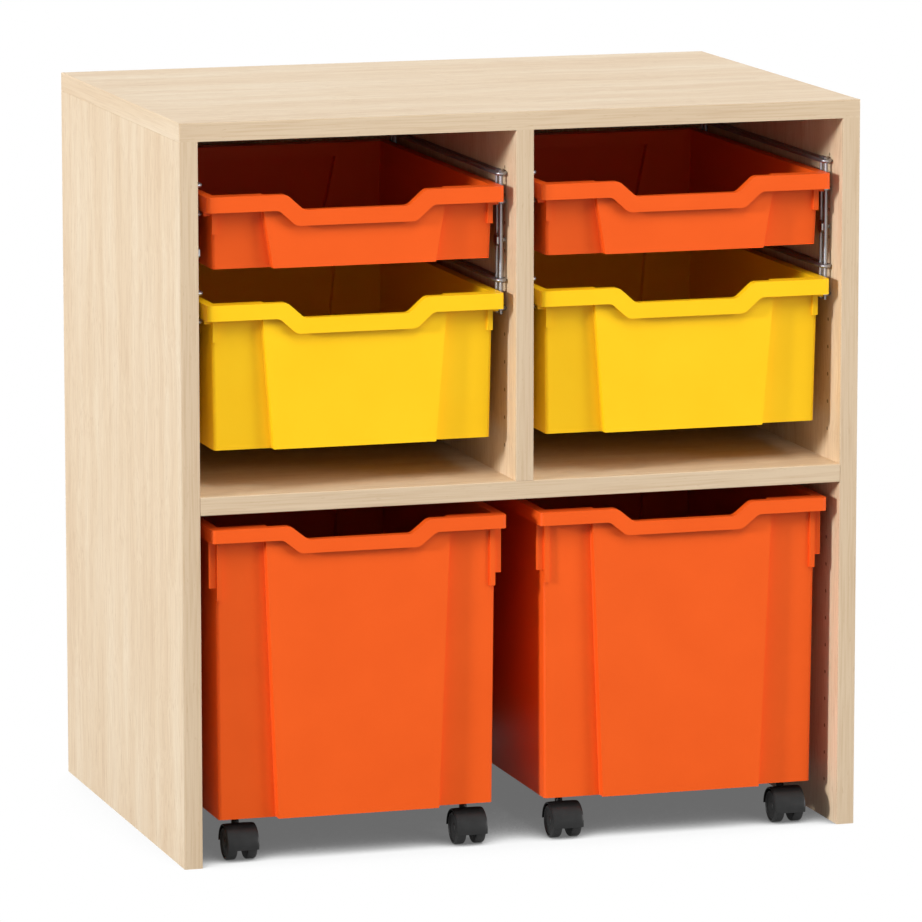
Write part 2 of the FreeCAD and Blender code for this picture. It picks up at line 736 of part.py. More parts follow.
def build_wheel():
    """A wheel on the +X side of the web, with a blind axle bore."""
    inner_face = "wheel_gap / 2"
    tread = turned("wheel_tread", "wheel_radius", "wheel_width", inner_face, "0", "0", ACROSS, WHEEL_SIDES)
    bore = turned("wheel_bore", "(axle_radius + running_clearance)" + FLATS_OUTSIDE,
                  "axle_reach + side_clearance + overrun", inner_face + " - overrun", "0", "0",
                  ACROSS, spin=HALF_STEP)
    return cut("wheel_bored", tread, bore)


def build_castors():
    hood_master = build_hood()
    wheel_master = build_wheel()
    facing_left = Rotation(Vector(0, 0, 1), 180)
    for side, middle in (("left", "-bin_spacing / 2"), ("right", "bin_spacing / 2")):
        stems = []
        for corner, x, y in CASTOR_CORNERS:
            name = "%s_bin_%s" % (side, corner)
            stem_x = "%s + (%s)" % (middle, x)
            stem_y = "bin_front + " + y
            axle_y = stem_y + " - trail"
            foot = "wheel_radius - socket_drop + socket_floor + seat_gap"
            stems.append(turned(name + "_stem_pin", "stem_radius",
                                "bin_base_level + stem_insert - (%s)" % foot, stem_x, stem_y, foot))
            hood = group(name + "_hood_copy", [hood_master])
            sub_part(place(hood, stem_x, axle_y, "wheel_radius"), name + "_castor_hood")
            axle = turned(name + "_axle_pin", "axle_radius", "wheel_gap + 2 * axle_reach",
                          stem_x + " - wheel_gap / 2 - axle_reach", axle_y, "wheel_radius", ACROSS)
            sub_part(axle, name + "_castor_axle")
            for hand, turn in (("left", facing_left), ("right", UPWARD)):
                wheel = group("%s_%s_wheel_copy" % (name, hand), [wheel_master])
                wheel.Placement = Placement(Vector(), turn)
                place(wheel, stem_x, axle_y, "wheel_radius")
                sub_part(wheel, "%s_%s_wheel" % (name, hand))
        sub_part(group(side + "_stem_set", stems), side + "_bin_castor_stems")


def check_model():
    for thing in doc.Objects:
        if "Invalid" in thing.State or "Error" in thing.State:
            raise RuntimeError("%s did not build: %s" % (thing.Label, thing.State))
    for thing in sub_parts:
        if thing.Shape.isNull() or not thing.Shape.isValid() or not thing.Shape.Solids:
            raise RuntimeError("%s has no valid solid" % thing.Label)


def write_parts():
    os.makedirs("parts", exist_ok=True)
    for thing in sub_parts:
        thing.Shape.exportStep(os.path.join("parts", thing.Label + ".step"))
        print("%-34s %2d solids %12.1f mm3" % (thing.Label, len(thing.Shape.Solids), thing.Shape.Volume))


build_boards()
build_lippings()
build_tongues()
build_runner_frames()
build_mouldings()
build_castors()
doc.recompute()
check_model()
write_parts()
print(len(sub_parts), "sub-parts")
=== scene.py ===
import json
import math

import bmesh
import bpy
import numpy as np
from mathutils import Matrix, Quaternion, Vector


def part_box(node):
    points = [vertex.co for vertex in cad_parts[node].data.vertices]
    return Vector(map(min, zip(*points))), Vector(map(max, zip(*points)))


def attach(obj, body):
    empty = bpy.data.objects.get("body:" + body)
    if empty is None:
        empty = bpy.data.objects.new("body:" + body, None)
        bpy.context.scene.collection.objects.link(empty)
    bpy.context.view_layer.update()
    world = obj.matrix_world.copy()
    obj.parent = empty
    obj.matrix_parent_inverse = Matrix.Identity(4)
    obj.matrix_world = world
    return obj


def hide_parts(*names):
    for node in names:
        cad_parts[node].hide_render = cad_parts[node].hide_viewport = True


# Tray store with rolling bins, dressed for its portrait
# Metres; the cabinet stands on the floor at z = 0, its open front faces -Y and its left side is at -X.

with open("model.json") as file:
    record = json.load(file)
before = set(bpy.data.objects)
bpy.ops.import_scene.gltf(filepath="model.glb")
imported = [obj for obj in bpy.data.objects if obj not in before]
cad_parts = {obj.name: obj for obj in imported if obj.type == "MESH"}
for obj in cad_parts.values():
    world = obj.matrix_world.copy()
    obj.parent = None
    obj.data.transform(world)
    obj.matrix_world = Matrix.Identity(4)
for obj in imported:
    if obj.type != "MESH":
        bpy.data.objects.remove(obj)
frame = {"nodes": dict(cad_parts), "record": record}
nodes = frame["nodes"]
node_body = {name: body for body, names in frame["record"]["behaviour"]["bodies"].items() for name in names}
node_slot = {row["node"]: row["material_slot"] for row in frame["record"]["subparts"]}
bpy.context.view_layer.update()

MM = 0.001

# Camera at the photograph's standpoint
CAMERA_PLACE = Vector((-2.0257, -6.5768, 1.5238))
CAMERA_TURN = math.radians(17.183)
CAMERA_FALL = math.radians(9.577)
CAMERA_ROLL = math.radians(-0.027)
CAMERA_LENS = 258.0
CAMERA_SENSOR = 36.0
CAMERA_SIGHT = 100.0

# Runner frames: wire, loops and hairpins
WIRE_RADIUS = 2.1 * MM
RAIL_HALF_SPACING = 4.05 * MM
LEG_HALF_SPACING = 6.5 * MM
LEG_BEND = 3.0 * MM
RIM_SKIRT = 16.0 * MM
SEAT_GAP = 0.3 * MM
HOLD_DOWN_GAP = 7.6 * MM
WIRE_RISE = 2.425 * MM
RUNNER_FRAMES = ("left_bay_outer", "left_bay_inner", "right_bay_inner", "right_bay_outer")
BEND_STEPS = 16
WIRE_STEPS = 16

# Castors
WHEEL_RADIUS = 17.0 * MM
WHEEL_WIDTH = 11.0 * MM
HOOD_RADIUS = 20.5 * MM
HOOD_WALL = 2.2 * MM
HOOD_HALF_WIDTH = 16.5 * MM
WEB_HALF_WIDTH = 4.6 * MM
WEB_FOOT = 0.2 * MM
HOOD_FRONT_DROP = 4.2 * MM
SOCKET_RADIUS = 4.6 * MM
STEM_RADIUS = 3.5 * MM
TRAIL = 14.6 * MM
TURN_STEPS = 64

# Rows of fixing holes in the inner faces of the boards
HOLE_RADIUS = 2.0 * MM
HOLE_FIRST = 40.8 * MM
HOLE_PITCH = 28.67 * MM
HOLE_STEPS = 16
HOLE_STAND_PROUD = 0.06 * MM

# Edge softening of boards, strips and mouldings
BOARD_EASE = 0.9 * MM
STRIP_EASE = 1.0 * MM
MOULDING_EASE = 0.7 * MM
SCREW_EASE = 0.3 * MM
EASE_ANGLE = math.radians(32)
MERGE_REACH = 0.005 * MM
EASE_SEGMENTS = 2
STEP_FILLET = 1.2 * MM
FILLET_SEGMENTS = 6
STEP_ANGLE = math.radians(60)
STEP_SHARE = 0.6
LONG_EDGE = 100.0 * MM
SAME_PLACE = 0.1 * MM
FACING = 0.5
FLAT_ANGLE = math.radians(0.6)
FLAT_WEIGHT = 100


# Colour, nodes and meshes


def srgb(text):
    """Linear colour of an sRGB hex value such as #E3CBA9."""
    parts = [int(text[at:at + 2], 16) / 255 for at in (1, 3, 5)]
    linear = [part / 12.92 if part <= 0.04045 else ((part + 0.055) / 1.055) ** 2.4 for part in parts]
    return (*linear, 1.0)


def node(tree, kind, inputs=None, stops=(), **settings):
    """Adds a node: sets its properties and ramp stops, and fills its inputs with constants or links."""
    made = tree.nodes.new(kind)
    for name, value in settings.items():
        setattr(made, name, value)
    for place, (position, colour) in enumerate(stops):
        elements = made.color_ramp.elements
        element = elements[place] if place < len(elements) else elements.new(position)
        element.position = position
        element.color = srgb(colour)
    for name, value in (inputs or {}).items():
        if isinstance(value, bpy.types.NodeSocket):
            tree.links.new(value, made.inputs[name])
        else:
            made.inputs[name].default_value = value
    return made


def blank_material(name):
    """A material with one principled shader; gives the material, its tree and the shader."""
    material = bpy.data.materials.new(name)
    material.use_nodes = True
    return material, material.node_tree, material.node_tree.nodes["Principled BSDF"]


def grid_quads(rows, columns, rows_closed, columns_closed):
    """Corner numbers of the quads of a grid of points, with either direction closed on itself."""
    row = np.arange(rows if rows_closed else rows - 1)
    column = np.arange(columns if columns_closed else columns - 1)
    i, j = np.meshgrid(row, column, indexing="ij")
    i_next = (i + 1) % rows
    j_next = (j + 1) % columns
    corners = (i * columns + j, i_next * columns + j, i_next * columns + j_next, i * columns + j_next)
    return np.stack(corners, axis=-1).reshape(-1, 4).tolist()


def join_shells(shells):
    """Stacks several (points, faces) shells into one pair of arrays."""
    points = []
    faces = []
    count = 0
    for shell_points, shell_faces in shells:
        points.append(shell_points)
        faces += [[corner + count for corner in face] for face in shell_faces]
        count += len(shell_points)
    return np.concatenate(points), faces


def make_piece(name, shells, material, stands_for, closed=True):
    """A smooth-shaded mesh of the shells that rides with the node it stands for."""
    points, faces = join_shells(shells)
    mesh = bpy.data.meshes.new(name)
    mesh.from_pydata(points.tolist(), [], faces)
    form = bmesh.new()
    form.from_mesh(mesh)
    if closed:
        bmesh.ops.remove_doubles(form, verts=form.verts, dist=MERGE_REACH)
        bmesh.ops.recalc_face_normals(form, faces=form.faces)
    for face in form.faces:
        face.smooth = True
    for edge in form.edges:
        edge.smooth = len(edge.link_faces) == 2 and edge.calc_face_angle() < EASE_ANGLE
    form.to_mesh(mesh)
    form.free()
    made = bpy.data.objects.new(name, mesh)
    bpy.context.scene.collection.objects.link(made)
    mesh.materials.append(material)
    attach(made, node_body[stands_for])
    return made


def part_solids(form):
    """Solids that touch along an edge or at a corner get corners of their own, so that each is closed."""
    waiting = set(form.faces)
    islands = []
    while waiting:
        island = [waiting.pop()]
        for face in island:
            for edge in face.edges:
                near = waiting.intersection(edge.link_faces if len(edge.link_faces) == 2 else ())
                waiting -= near
                island += near
        islands.append(island)
    for island in islands[1:]:
        bmesh.ops.split(form, geom=island)


def softened(cad_name, materials, ease, pick=None, bare=None):
    """The CAD form with its facets merged, its tall inner steps filleted and its sharp edges eased.
    Where there are several materials, pick gives the number of the one for a face's middle, and where only
    some edges are bare, bare says whether an edge is one of them."""
    form = bmesh.new()
    form.from_mesh(nodes[cad_name].data)
    bmesh.ops.remove_doubles(form, verts=form.verts, dist=MERGE_REACH)
    part_solids(form)
    bmesh.ops.dissolve_limit(form, angle_limit=FLAT_ANGLE, verts=form.verts, edges=form.edges)
    for face in form.faces:
        face.smooth = True
        if pick:
            face.material_index = pick(face.calc_center_median())
    low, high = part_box(cad_name)
    weight = form.edges.layers.float.new("bevel_weight_edge")
    eased = form.edges.layers.float.new("bare_edge")
    for edge in form.edges:
        tall = abs(edge.verts[0].co.z - edge.verts[1].co.z) > STEP_SHARE * (high.z - low.z)
        if tall and len(edge.link_faces) == 2 and edge.calc_face_angle_signed() < -STEP_ANGLE:
            edge[weight] = 1.0
        if bare:
            edge[eased] = 1.0 if bare(edge) else 0.0
            edge.smooth = edge[eased] > 0 or edge.calc_face_angle(0) < EASE_ANGLE
    mesh = bpy.data.meshes.new(cad_name + "_eased")
    form.to_mesh(mesh)
    form.free()
    made = bpy.data.objects.new(cad_name + "_eased", mesh)
    bpy.context.scene.collection.objects.link(made)
    for material in materials:
        mesh.materials.append(material)
    fillet = made.modifiers.new("step_fillets", "BEVEL")
    fillet.width = STEP_FILLET
    fillet.segments = FILLET_SEGMENTS
    fillet.limit_method = "WEIGHT"
    bevel = made.modifiers.new("eased_edges", "BEVEL")
    bevel.width = ease
    bevel.segments = EASE_SEGMENTS
    bevel.limit_method = "WEIGHT" if bare else "ANGLE"
    bevel.edge_weight = "bare_edge"
    bevel.angle_limit = EASE_ANGLE
    bevel.harden_normals = True
    flat = made.modifiers.new("flat_faces", "WEIGHTED_NORMAL")
    flat.mode = "FACE_AREA"
    flat.weight = FLAT_WEIGHT
    flat.keep_sharp = True
    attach(made, node_body[cad_name])
    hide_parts(cad_name)


# Materials

SKIN_RELIEF = 0.1 * MM
MATT = 0.9

# Detail in the noise patterns
PLAIN_DETAIL = 1.0
FINE_DETAIL = 2.0
RICH_DETAIL = 3.0
WORN_DETAIL = 4.0


def object_place(tree):
    """Place on the object, in metres."""
    return node(tree, "ShaderNodeTexCoord").outputs["Object"]


def noise(tree, place, size, detail):
    """A noise pattern with clouds of about the given size."""
    return node(tree, "ShaderNodeTexNoise", {"Vector": place, "Scale": 1 / size, "Detail": detail})


def streaks(tree, place, lengths, detail, **more):
    """A noise pattern drawn out to the given lengths along the three axes."""
    stretched = node(tree, "ShaderNodeMapping",
                     {"Vector": place, "Scale": tuple(1 / length for length in lengths)})
    made = node(tree, "ShaderNodeTexNoise",
                {"Vector": stretched.outputs["Vector"], "Scale": 1.0, "Detail": detail, **more})
    return made.outputs["Fac"]


def ramp(tree, pattern, stops):
    """The pattern turned into colours."""
    return node(tree, "ShaderNodeValToRGB", {"Fac": pattern}, stops).outputs["Color"]


def mixed(tree, share, under, over, blend):
    """Two colours blended by a share; the node's colours are its inputs 6 and 7 and its output 2."""
    made = node(tree, "ShaderNodeMix", {0: share, 6: under, 7: over}, data_type="RGBA", blend_type=blend)
    return made.outputs[2]


def set_roughness(tree, shader, pattern, rough_low, rough_high):
    """Lets the pattern vary the roughness between the two values."""
    gloss = node(tree, "ShaderNodeMapRange", {"Value": pattern, "To Min": rough_low, "To Max": rough_high})
    tree.links.new(gloss.outputs["Result"], shader.inputs["Roughness"])


def set_skin(tree, shader, pattern, relief, index, shine):
    """A fine relief from the pattern, the refractive index and the strength of the shine."""
    bump = node(tree, "ShaderNodeBump", {"Height": pattern, "Strength": relief, "Distance": SKIN_RELIEF})
    tree.links.new(bump.outputs["Normal"], shader.inputs["Normal"])
    shader.inputs["IOR"].default_value = index
    shader.inputs["Specular IOR Level"].default_value = shine


GRAIN_TURNS = {"x": (0, 0, 0), "y": (0, 0, math.pi / 2), "z": (0, math.pi / 2, 0)}
GRAIN_LINE = 1.8 * MM
GRAIN_LINE_LENGTH = 90 * MM
FIGURE_WIDTH = 34 * MM
FIGURE_LENGTH = 420 * MM
FLECK_WIDTH = 1.5 * MM
FLECK_LENGTH = 10 * MM
PALE_WIDTH = 4 * MM
PALE_LENGTH = 260 * MM
CLOUD = 130 * MM
BOARD_SWAY = 30 * MM
STRIP_SWAY = 4 * MM
STREAK_ROUGHNESS = 0.55
FIGURE_STOPS = (0.32, 0.5, 0.68)
LINE_STOPS = ((0.3, "#DCCBB4"), (0.56, "#FFFFFF"))
FLECK_STOPS = ((0.24, "#C8AE8A"), (0.33, "#FFFFFF"))
PALE_FROM = 0.58
PALE_TO = 0.74
PALE_SHARE = 0.5
RESIN_ROUGHNESS = (0.4, 0.5)
RESIN_RELIEF = 0.06
RESIN_INDEX = 1.5
RESIN_SHINE = 0.35


def maple_faced_board(name, grain, pale, mid, dark, line_share, fleck_share, sway):
    """Melamine-faced particle board printed as pale maple.
    The print gives broad soft streaks, fine straight grain lines and short flecks, all low in contrast;
    the resin face is smooth with a soft satin shine. Grain runs along the named axis."""
    material, tree, shader = blank_material(name)
    along = node(tree, "ShaderNodeMapping", {"Vector": object_place(tree), "Rotation": GRAIN_TURNS[grain]},
                 vector_type="TEXTURE").outputs["Vector"]
    cloud = noise(tree, along, CLOUD, FINE_DETAIL).outputs["Color"]
    swayed = node(tree, "ShaderNodeVectorMath", {0: cloud, 1: (0, sway, sway)},
                  operation="MULTIPLY").outputs["Vector"]
    bent = node(tree, "ShaderNodeVectorMath", {0: along, 1: swayed}, operation="ADD").outputs["Vector"]
    figure, lines, flecks, pales = [
        streaks(tree, bent, (length, width, width), detail, Roughness=STREAK_ROUGHNESS)
        for length, width, detail in ((FIGURE_LENGTH, FIGURE_WIDTH, RICH_DETAIL),
                                      (GRAIN_LINE_LENGTH, GRAIN_LINE, FINE_DETAIL),
                                      (FLECK_LENGTH, FLECK_WIDTH, PLAIN_DETAIL),
                                      (PALE_LENGTH, PALE_WIDTH, FINE_DETAIL))]
    colour = ramp(tree, figure, zip(FIGURE_STOPS, (dark, mid, pale)))
    sheen = node(tree, "ShaderNodeMapRange", {"Value": pales, "From Min": PALE_FROM, "From Max": PALE_TO,
                                              "To Max": PALE_SHARE}).outputs["Result"]
    paled = mixed(tree, sheen, colour, srgb(pale), "MIX")
    lined = mixed(tree, line_share, paled, ramp(tree, lines, LINE_STOPS), "MULTIPLY")
    flecked = mixed(tree, fleck_share, lined, ramp(tree, flecks, FLECK_STOPS), "MULTIPLY")
    tree.links.new(flecked, shader.inputs["Base Color"])
    set_roughness(tree, shader, lines, *RESIN_ROUGHNESS)
    set_skin(tree, shader, lines, RESIN_RELIEF, RESIN_INDEX, RESIN_SHINE)
    return material


TEXTURE_GRAIN = 1.1 * MM
FLOW_CLOUD = 60 * MM
FLOW_STOPS = (0.3, 0.7)
PLASTIC_RELIEF = 0.08
PLASTIC_INDEX = 1.49
PLASTIC_SHINE = 0.2


def moulded_polypropylene(name, colour, shade, rough_low, rough_high):
    """Injection-moulded polypropylene in a strong through colour.
    A fine spark-eroded skin breaks the highlights, and the melt's flow leaves faint clouds of tone.
    The grain is drawn about twice as coarse as the real one, so that it shows."""
    material, tree, shader = blank_material(name)
    place = object_place(tree)
    flow = noise(tree, place, FLOW_CLOUD, RICH_DETAIL).outputs["Fac"]
    grain = noise(tree, place, TEXTURE_GRAIN, FINE_DETAIL).outputs["Fac"]
    tree.links.new(ramp(tree, flow, zip(FLOW_STOPS, (shade, colour))), shader.inputs["Base Color"])
    set_roughness(tree, shader, flow, rough_low, rough_high)
    set_skin(tree, shader, grain, PLASTIC_RELIEF, PLASTIC_INDEX, PLASTIC_SHINE)
    return material


DRAW_MARK = 0.5 * MM
DRAW_LENGTH = 30 * MM
DRAW_STOPS = (0.3, 0.7)


def plated_steel(name, bright, dull, rough_low, rough_high, grain):
    """Zinc-plated drawn steel: a bright grey metal with faint marks along the way it was drawn."""
    material, tree, shader = blank_material(name)
    lengths = [DRAW_LENGTH if axis == grain else DRAW_MARK for axis in "xyz"]
    marks = streaks(tree, object_place(tree), lengths, FINE_DETAIL)
    tree.links.new(ramp(tree, marks, zip(DRAW_STOPS, (dull, bright))), shader.inputs["Base Color"])
    set_roughness(tree, shader, marks, rough_low, rough_high)
    shader.inputs["Metallic"].default_value = 1.0
    return material


NYLON_GRAIN = 0.8 * MM
NYLON_SCUFF = 9 * MM
SCUFF_STOPS = (0.4, 0.75)
NYLON_RELIEF = 0.1
NYLON_INDEX = 1.53
NYLON_SHINE = 0.3


def black_nylon(name, colour, worn, rough_low, rough_high):
    """Black glass-filled nylon, moulded: satin, slightly grey where it is scuffed, with a fine grain."""
    material, tree, shader = blank_material(name)
    place = object_place(tree)
    scuff = noise(tree, place, NYLON_SCUFF, WORN_DETAIL).outputs["Fac"]
    grain = noise(tree, place, NYLON_GRAIN, FINE_DETAIL).outputs["Fac"]
    tree.links.new(ramp(tree, scuff, zip(SCUFF_STOPS, (colour, worn))), shader.inputs["Base Color"])
    set_roughness(tree, shader, scuff, rough_low, rough_high)
    set_skin(tree, shader, grain, NYLON_RELIEF, NYLON_INDEX, NYLON_SHINE)
    return material


# Tones of the chips, partly their own colour and partly painted shade of the hole's depth
CHIP = 1.5 * MM
CHIP_STOPS = ((0.3, "#8A7459"), (0.7, "#A68E70"))


def chipboard_and_painted_shade(name):
    """Bare wood chips, as they show in a drilled hole; the tone also holds painted shade for the hole's
    depth.
    """
    material, tree, shader = blank_material(name)
    chips = noise(tree, object_place(tree), CHIP, FINE_DETAIL).outputs["Fac"]
    tree.links.new(ramp(tree, chips, CHIP_STOPS), shader.inputs["Base Color"])
    shader.inputs["Roughness"].default_value = MATT
    return material


BOARD_TONES = ("#EBD7BA", "#E5CDAC", "#DFC4A1")
STRIP_TONES = ("#D6C0A3", "#D3BC9E", "#CFB799")
BEECH_TONES = ("#D0A878", "#C79E6E", "#BC9262")
# Share of the grain lines, share of the flecks and sideways sway
BOARD_GRAIN = (0.5, 0.4, BOARD_SWAY)
STRIP_GRAIN = (0.35, 0.2, STRIP_SWAY)
BEECH_GRAIN = (0.6, 0.5, STRIP_SWAY)
upright_board = maple_faced_board("maple_board_upright_grain", "z", *BOARD_TONES, *BOARD_GRAIN)
level_board = maple_faced_board("maple_board_level_grain", "x", *BOARD_TONES, *BOARD_GRAIN)
upright_strip = maple_faced_board("maple_strip_upright_grain", "z", *STRIP_TONES, *STRIP_GRAIN)
level_strip = maple_faced_board("maple_strip_level_grain", "x", *STRIP_TONES, *STRIP_GRAIN)
deep_strip = maple_faced_board("maple_strip_deep_grain", "y", *BOARD_TONES, *STRIP_GRAIN)
raw_beech = maple_faced_board("raw_beech_tongue", "y", *BEECH_TONES, *BEECH_GRAIN)
# Plastic and steel: two tones, the lowest and the highest roughness, and the axis that steel is drawn along
orange_plastic = moulded_polypropylene("orange_polypropylene", "#F05D1A", "#EC5A18", 0.38, 0.44)
yellow_plastic = moulded_polypropylene("yellow_polypropylene", "#FFCB19", "#FDC715", 0.38, 0.44)
bright_wire = plated_steel("bright_plated_wire", "#AEB0B5", "#989A9F", 0.44, 0.52, "y")
zinc_screw = plated_steel("zinc_plated_screw", "#C4C6C8", "#AEB0B2", 0.28, 0.36, "x")
# The castor stems are drawn in a dark grey instead of bright zinc
plated_stem = plated_steel("dark_grey_steel_stem", "#2A2A2B", "#1E1E1F", 0.35, 0.45, "z")
drawn_axle = plated_steel("drawn_steel_axle", "#B4B6B8", "#9C9EA0", 0.35, 0.45, "x")
castor_black = black_nylon("black_nylon_hood", "#161616", "#1E1E1E", 0.36, 0.46)
wheel_black = black_nylon("black_nylon_wheel", "#1C1C1C", "#262626", 0.42, 0.55)
hole_shade = chipboard_and_painted_shade("hole_chipboard_with_painted_shade")

SLOT_MATERIALS = {
    "maple_board": upright_board, "back_board": upright_board, "edge_lipping": upright_strip,
    "tongue_wood": raw_beech, "bright_wire": bright_wire, "plated_screw": zinc_screw,
    "orange_plastic": orange_plastic, "yellow_plastic": yellow_plastic, "plated_stem": plated_stem,
    "castor_black": castor_black, "axle_steel": drawn_axle, "wheel_black": wheel_black,
}
LEVEL_BOARDS = ("top_panel", "fixed_shelf")
for cad_name, cad_object in nodes.items():
    finish = level_board if cad_name in LEVEL_BOARDS else SLOT_MATERIALS[node_slot[cad_name]]
    cad_object.data.materials.clear()
    cad_object.data.materials.append(finish)


# Boards, strips and mouldings, with their edges eased

side_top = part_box("left_side_panel")[1].z
shelf_low, shelf_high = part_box("fixed_shelf")
strip_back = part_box("left_side_panel")[0].y
strips_low, strips_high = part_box("edge_lippings")
STRIP_MATERIALS = [upright_strip, level_strip, deep_strip]
UPRIGHT = 0
LEVEL = 1
DEEP = 2


def strip_grain(middle):
    """Strips along the top and the shelf have level grain, those on the top's ends run front to back."""
    if middle.z > side_top:
        return LEVEL if middle.y < strip_back else DEEP
    on_shelf = shelf_low.z <= middle.z <= shelf_high.z and shelf_low.x <= middle.x <= shelf_high.x
    return LEVEL if on_shelf else UPRIGHT


def bare_strip_edge(edge):
    """A long edge none of whose faces lies on a board or on another strip, or an outer corner of the top."""
    ends = [vert.co for vert in edge.verts]
    if edge.calc_length() < LONG_EDGE:
        return all(abs(end.x) > strips_high.x - SAME_PLACE and end.y < strips_low.y + SAME_PLACE
                   and end.z > side_top - SAME_PLACE for end in ends)
    for face in edge.link_faces:
        middle = face.calc_center_median()
        on_end = middle.z > side_top and middle.y > strip_back
        backed = face.normal.x * middle.x < -SAME_PLACE if on_end else face.normal.y > FACING
        if backed or (face.normal.z < -FACING and abs(middle.z - side_top) < SAME_PLACE):
            return False
    return True


softened("edge_lippings", STRIP_MATERIALS, STRIP_EASE, strip_grain, bare_strip_edge)


def board_top_edge(edge):
    """A long edge at the top end of a side board, where it meets the top in an open joint line."""
    return edge.calc_length() > LONG_EDGE and all(vert.co.z > side_top - SAME_PLACE for vert in edge.verts)


for cad_name in ("left_side_panel", "right_side_panel"):
    softened(cad_name, [upright_board], BOARD_EASE, bare=board_top_edge)
for cad_name, finish in (("shallow_tray_left", orange_plastic), ("shallow_tray_right", orange_plastic),
                         ("deep_tray_left", yellow_plastic), ("deep_tray_right", yellow_plastic),
                         ("rolling_bin_left", orange_plastic), ("rolling_bin_right", orange_plastic)):
    softened(cad_name, [finish], MOULDING_EASE)
softened("runner_screws", [zinc_screw], SCREW_EASE)


# Runner frames of round wire


def tube(path, binormal, closed):
    """A wire of round section along a flat path: each point plus the wire's radius times a turn in the
    plane of the path's normal and the given binormal. An open wire gets flat ends."""
    if closed:
        tangent = np.roll(path, -1, axis=0) - np.roll(path, 1, axis=0)
    else:
        tangent = np.gradient(path, axis=0)
    tangent = tangent / np.linalg.norm(tangent, axis=1, keepdims=True)
    normal = np.cross(binormal, tangent)
    turn = np.linspace(0, 2 * np.pi, WIRE_STEPS, endpoint=False)
    ring = (np.cos(turn)[None, :, None] * normal[:, None, :]
            + np.sin(turn)[None, :, None] * np.asarray(binormal)[None, None, :])
    points = (path[:, None, :] + WIRE_RADIUS * ring).reshape(-1, 3)
    faces = grid_quads(len(path), WIRE_STEPS, closed, True)
    if not closed:
        last = (len(path) - 1) * WIRE_STEPS
        faces += [list(range(WIRE_STEPS)), list(range(last, last + WIRE_STEPS))]
    return points, faces


def half_turn(radius):
    """Across and rise along a half circle, from +radius round to -radius."""
    turn = np.linspace(0, np.pi, BEND_STEPS + 1)
    return radius * np.cos(turn), radius * np.sin(turn)


def wire_loop(middle, front, rear, level):
    """A flat racetrack: two straight rails joined by a half turn at the front and the rear."""
    across, rise = half_turn(RAIL_HALF_SPACING)
    near = front + WIRE_RADIUS + RAIL_HALF_SPACING
    far = rear - WIRE_RADIUS - RAIL_HALF_SPACING
    x = np.concatenate([middle + across, middle - across])
    y = np.concatenate([far + rise, near - rise])
    return tube(np.stack([x, y, np.full(len(x), level)], axis=1), (0, 0, 1), True)


def wire_hairpin(middle, depth, foot, head):
    """Two upright legs joined at the top by a short level bar with a tight quarter bend at each end."""
    turn = np.linspace(0, np.pi / 2, BEND_STEPS // 2 + 1)
    across = LEG_HALF_SPACING - LEG_BEND + LEG_BEND * np.cos(turn)
    rise = head - WIRE_RADIUS - LEG_BEND + LEG_BEND * np.sin(turn)
    y = depth + np.concatenate([[LEG_HALF_SPACING], across, -across[::-1], [-LEG_HALF_SPACING]])
    z = np.concatenate([[foot], rise, rise[::-1], [foot]])
    return tube(np.stack([np.full(len(y), middle), y, z], axis=1), (1, 0, 0), False)


def hairpin_rows(uprights):
    """Depths of a runner frame's front and rear hairpin, halfway between the legs of each."""
    low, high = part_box(uprights)
    return low.y + WIRE_RISE + LEG_HALF_SPACING, high.y - WIRE_RISE - LEG_HALF_SPACING


shallow_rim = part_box("shallow_tray_left")[1].z
deep_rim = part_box("deep_tray_left")[1].z
runner_levels = [rim + step for rim in (shallow_rim, deep_rim)
                 for step in (HOLD_DOWN_GAP + WIRE_RISE, -RIM_SKIRT - SEAT_GAP - WIRE_RISE)]
for runner_frame in RUNNER_FRAMES:
    loops = runner_frame + "_runner_loops"
    low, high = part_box(loops)
    middle = (low.x + high.x) / 2
    rails = [wire_loop(middle, low.y, high.y, level) for level in runner_levels]
    piece = make_piece(runner_frame + "_round_loops", rails, bright_wire, loops)
    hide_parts(loops)
    uprights = runner_frame + "_runner_uprights"
    low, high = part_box(uprights)
    hairpins = [wire_hairpin(middle, row, low.z, high.z) for row in hairpin_rows(uprights)]
    piece = make_piece(runner_frame + "_round_uprights", hairpins, bright_wire, uprights)
    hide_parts(uprights)


# Castors


def turned_form(radii, lengths, axis, centre):
    """A form turned about the x or z axis: each profile point (radius, length) swept once round."""
    turn = np.linspace(0, 2 * np.pi, TURN_STEPS, endpoint=False)
    first = np.asarray(radii)[:, None] * np.cos(turn)[None, :]
    second = np.asarray(radii)[:, None] * np.sin(turn)[None, :]
    along = np.broadcast_to(np.asarray(lengths)[:, None], first.shape)
    order = (along, first, second) if axis == "x" else (first, second, along)
    points = np.stack(order, axis=-1).reshape(-1, 3) + np.asarray(centre)[None, :]
    return points, grid_quads(len(radii), TURN_STEPS, False, True)


# Wheel profile: share of the radius, share of the width from the inner face
WHEEL_PROFILE = np.array((
    (0.0, 0.02), (0.16, 0.02), (0.8, 0.02), (0.9, 0.02), (0.95, 0.045), (0.985, 0.1), (1.0, 0.18),
    (1.0, 0.5), (1.0, 0.8), (0.985, 0.88), (0.95, 0.95), (0.9, 0.985), (0.86, 0.99), (0.83, 0.96),
    (0.81, 0.9), (0.6, 0.88), (0.34, 0.88), (0.31, 0.9), (0.29, 0.95), (0.25, 0.98), (0.12, 0.99),
    (0.0, 0.99)))
# Hood section: share of the radius, share of the half width, from the left inner edge over the crown
HOOD_CROWN = np.array((
    (0.9, -0.985), (0.92, -1.0), (0.945, -1.0), (0.965, -0.985), (0.978, -0.95), (0.986, -0.88),
    (0.993, -0.7), (0.998, -0.4), (1.0, 0.0), (0.998, 0.4), (0.993, 0.7), (0.986, 0.88),
    (0.978, 0.95), (0.965, 0.985), (0.945, 1.0), (0.92, 1.0), (0.9, 0.985)))
